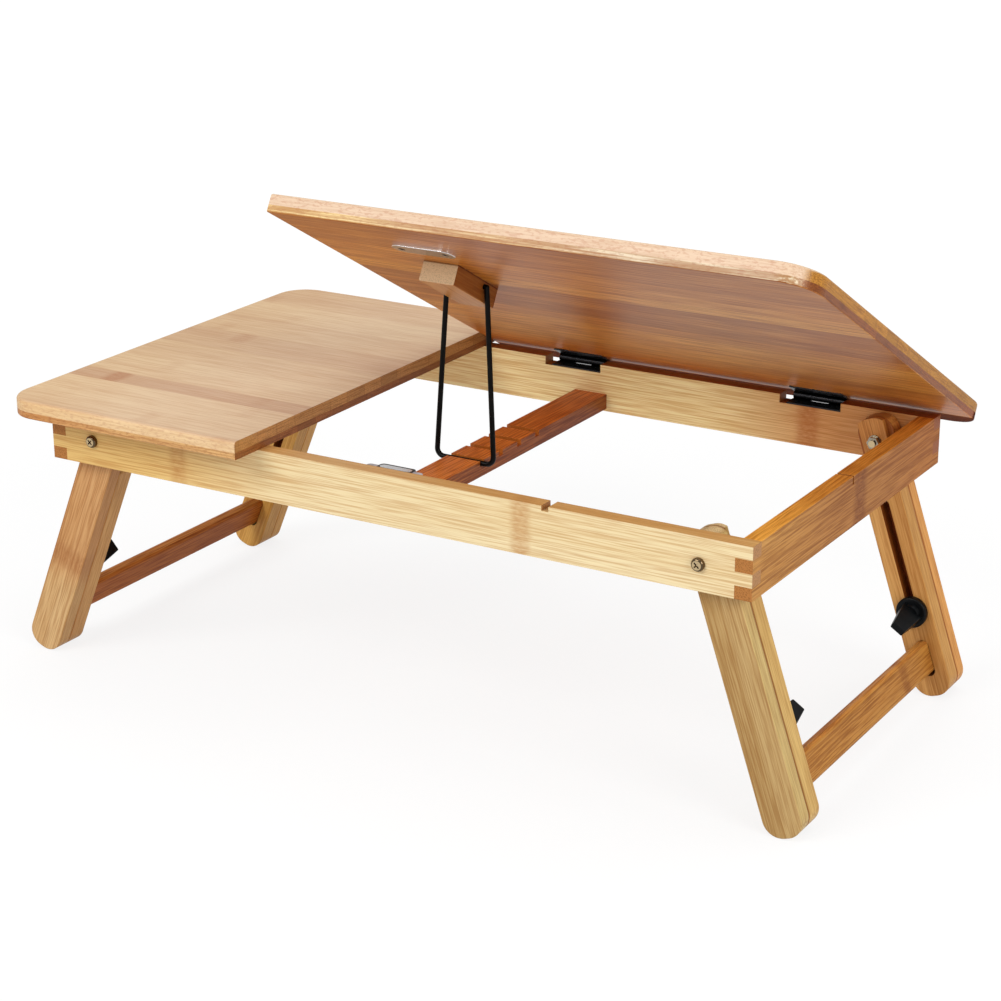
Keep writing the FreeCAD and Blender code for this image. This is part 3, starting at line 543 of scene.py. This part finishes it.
# The legs' side faces are lightened on the right legs as painted light and darkened on the left
# legs as painted shade, and each side sets the strength of the painted seam shade.
SIDE_LIGHT_AND_SEAM = {
    "left": {"side_tone_and_light": (0.86, 0.82, 0.70), "seam": 0.3},
    "right": {"side_tone_and_light": (1.15, 1.22, 1.10), "seam": 0.7},
}
UPPER_LOOKS = {
    "left_front": {"marks": ((0.110, -0.014, 0.014, 0.013, 0.42),),
                   "tints": ((0, 0.110, 0.140, (1.10, 1.30, 1.48)),)},
    "right_front": {"end_color": (232, 196, 146)},
}
LEG_END_COLOR = (178, 130, 78)
UPPER_STRIP, LOWER_STRIP = 0.013, 0.016
FIRST_SEED, NEXT_LEG_SEED, LOWER_SEED = 3.3, 2.9, 1.7

for number, (leg, (upper_gain, lower_gain)) in enumerate(LEG_GAINS.items()):
    side = leg.split("_")[0]
    out = -1 if side == "left" else 1
    splay = SPLAYS[side]
    down = Vector((out * sin(splay), 0, -cos(splay)))
    wide = Vector((out * cos(splay), 0, sin(splay)))
    pivot = FRAME_TOP + Vector((out * PIVOT_OUT, 0, -PIVOT_DOWN))
    seed = FIRST_SEED + NEXT_LEG_SEED * number
    both = {"contrast": 0.7, "streak": 0.72, "bands": 0.0, **SIDE_LIGHT_AND_SEAM[side]}
    upper = {"end_color": LEG_END_COLOR, **UPPER_LOOKS.get(leg, {})}
    dress(bamboo(leg + "_upper_wood", TAN, down, wide, pivot, gain=upper_gain,
                 strip=UPPER_STRIP, seed=seed, slot="floor", **both, **upper),
          leg + "_upper_leg")
    dress(bamboo(leg + "_lower_wood", TAN, down, wide, pivot, gain=lower_gain,
                 strip=LOWER_STRIP, seed=seed + LOWER_SEED, slot="walls", **both),
          leg + "_lower_leg")

# The hardware

dress(plastic("black_wire", (0.001, 0.001, 0.001), 0.36, 0.05, 0.14),
      "wire_prop", "strike_screws")
dress(metal("black_steel", (0.035, 0.035, 0.038), 0.30),
      "left_hinge_lower_leaf", "right_hinge_lower_leaf", "left_hinge_upper_leaf",
      "right_hinge_upper_leaf", "hinge_pins", "hinge_lower_screws", "hinge_upper_screws")
dress(plastic("knob_plastic", (0.001, 0.0015, 0.002), 0.36, 0.2, 0.16),
      *[n for n in NODES if n.endswith("_knob")])
dress(metal("zinc_steel", (0.44, 0.39, 0.31), 0.22),
      "left_pivot_nuts", "right_pivot_nuts", "left_pivot_washers", "right_pivot_washers",
      "left_knob_studs", "right_knob_studs", "catch_screws")
# The screws' faces along Y keep their gold, and the other faces, in the cross recess and round
# the rim, take a near-black as painted shade.
dress(metal("passivated_screw_painted_shade", (0.16, 0.11, 0.06), 0.12, 0.3, (Y, (0.74, 0.56, 0.32))),
      "left_pivot_screws", "right_pivot_screws")
dress(metal("bright_plate", (0.98, 0.98, 0.98), 0.16, 0.1), "catch_pole")
# The plate's face along the panel's normal is darkened as a painted reflection of the wood, and
# its rim keeps the bright steel.
dress(metal("strike_steel_painted_reflection", (0.98, 0.98, 0.97), 0.18, 0.1, (PANEL_NORMAL, (0.34, 0.28, 0.24))),
      "strike_plate")
dress(plastic("catch_cap_plastic", (0.012, 0.012, 0.014), 0.4), "catch_cap")
dress(plastic("catch_body_plastic", (0.32, 0.32, 0.34), 0.4), "catch_body")


# Stage: floor, world, lamps and camera

FLOOR_SIZE = 14
FLOOR_DROP = 0.0002  # just under the feet
FLOOR_COLOR = (0.88, 0.88, 0.88)
FLOOR_IN_GLOSS = 0.72
WHITE_SEEN = 1.03
WORLD_LIGHT = 0.52
WHITE_FROM, WHITE_TO = 0.45, 1.2  # how far out the floor starts and ends turning white
WHITE_LEAST, WHITE_MOST = 0.80, 1.0

LAMP_AIM = Vector((0, 0, 0.15))

CAMERA_AT = MIDDLE + Vector((0.8557, -1.4082, 0.7190))
CAMERA_BACK = Vector((0.4868, -0.8064, 0.3360)).normalized()
CAMERA_ROLL = radians(-0.31)
CAMERA_LENS = 87.1
CAMERA_SENSOR = 36.0


def white_stage():
    """The camera sees a floor that is nearly white near the desk, where its shadow stays, and
    plain white further out. Glossy rays see it a little dimmer."""
    bpy.ops.mesh.primitive_plane_add(size=FLOOR_SIZE, location=(0, 0, -FLOOR_DROP))
    floor = bpy.context.object
    floor.name = "studio_floor"
    mat = bpy.data.materials.new("floor_white")
    mat.use_nodes = True
    g = Nodes(mat.node_tree)
    g.tree.nodes.clear()
    diffuse = g.node("BsdfDiffuse")
    g.put(FLOOR_COLOR, diffuse.inputs["Color"])
    white = g.node("Emission")
    white.inputs["Strength"].default_value = WHITE_SEEN
    grey = g.node("Emission")
    grey.inputs["Strength"].default_value = FLOOR_IN_GLOSS
    ray = g.node("LightPath")
    reach = g.vector_math("LENGTH", "Value", g.node("TexCoord").outputs["Object"])
    share = g.step(reach, WHITE_FROM, WHITE_TO, WHITE_LEAST, WHITE_MOST)
    seen = g.multiply(ray.outputs["Is Camera Ray"], share)
    surface = g.mix_shader(seen, diffuse.outputs[0], white.outputs[0])
    surface = g.mix_shader(ray.outputs["Is Glossy Ray"], surface, grey.outputs[0])
    g.put(surface, g.node("OutputMaterial").inputs[0])
    floor.data.materials.append(mat)


def white_world():
    """The camera meets plain white, and all other rays a dimmer, soft white room."""
    world = bpy.data.worlds.new("studio")
    bpy.context.scene.world = world
    world.use_nodes = True
    g = Nodes(world.node_tree)
    back = g.tree.nodes["Background"]
    back.inputs["Color"].default_value = (1, 1, 1, 1)
    camera_ray = g.node("LightPath").outputs["Is Camera Ray"]
    g.put(g.span(camera_ray, 0.0, 1.0, WORLD_LIGHT, WHITE_SEEN), back.inputs["Strength"])


def lamp(name, at, size, power):
    data = bpy.data.lights.new(name, "AREA")
    data.shape = "RECTANGLE"
    data.size, data.size_y = size
    data.energy = power
    obj = bpy.data.objects.new(name, data)
    bpy.context.scene.collection.objects.link(obj)
    obj.location = at
    obj.rotation_euler = (LAMP_AIM - Vector(at)).to_track_quat("-Z", "Y").to_euler()


def photo_camera():
    """The camera fitted to the photo."""
    data = bpy.data.cameras.new("photo_camera")
    data.sensor_width = CAMERA_SENSOR
    data.lens = CAMERA_LENS
    camera = bpy.data.objects.new("photo_camera", data)
    bpy.context.scene.collection.objects.link(camera)
    right = Z.cross(CAMERA_BACK).normalized()
    up = CAMERA_BACK.cross(right)
    turn = Matrix((right, up, CAMERA_BACK)).transposed()
    camera.matrix_world = (
        Matrix.Translation(CAMERA_AT) @ turn.to_4x4() @ Matrix.Rotation(CAMERA_ROLL, 4, "Z")
    )
    bpy.context.scene.camera = camera


white_stage()
white_world()
lamp("key", (-0.9, -2.2, 1.9), (1.6, 1.2), 38)
lamp("over", (0.2, 0.6, 2.4), (1.8, 1.8), 16)
lamp("side", (2.2, -0.9, 1.3), (1.2, 1.2), 24)
photo_camera()
bpy.context.scene.view_settings.view_transform = "Standard"
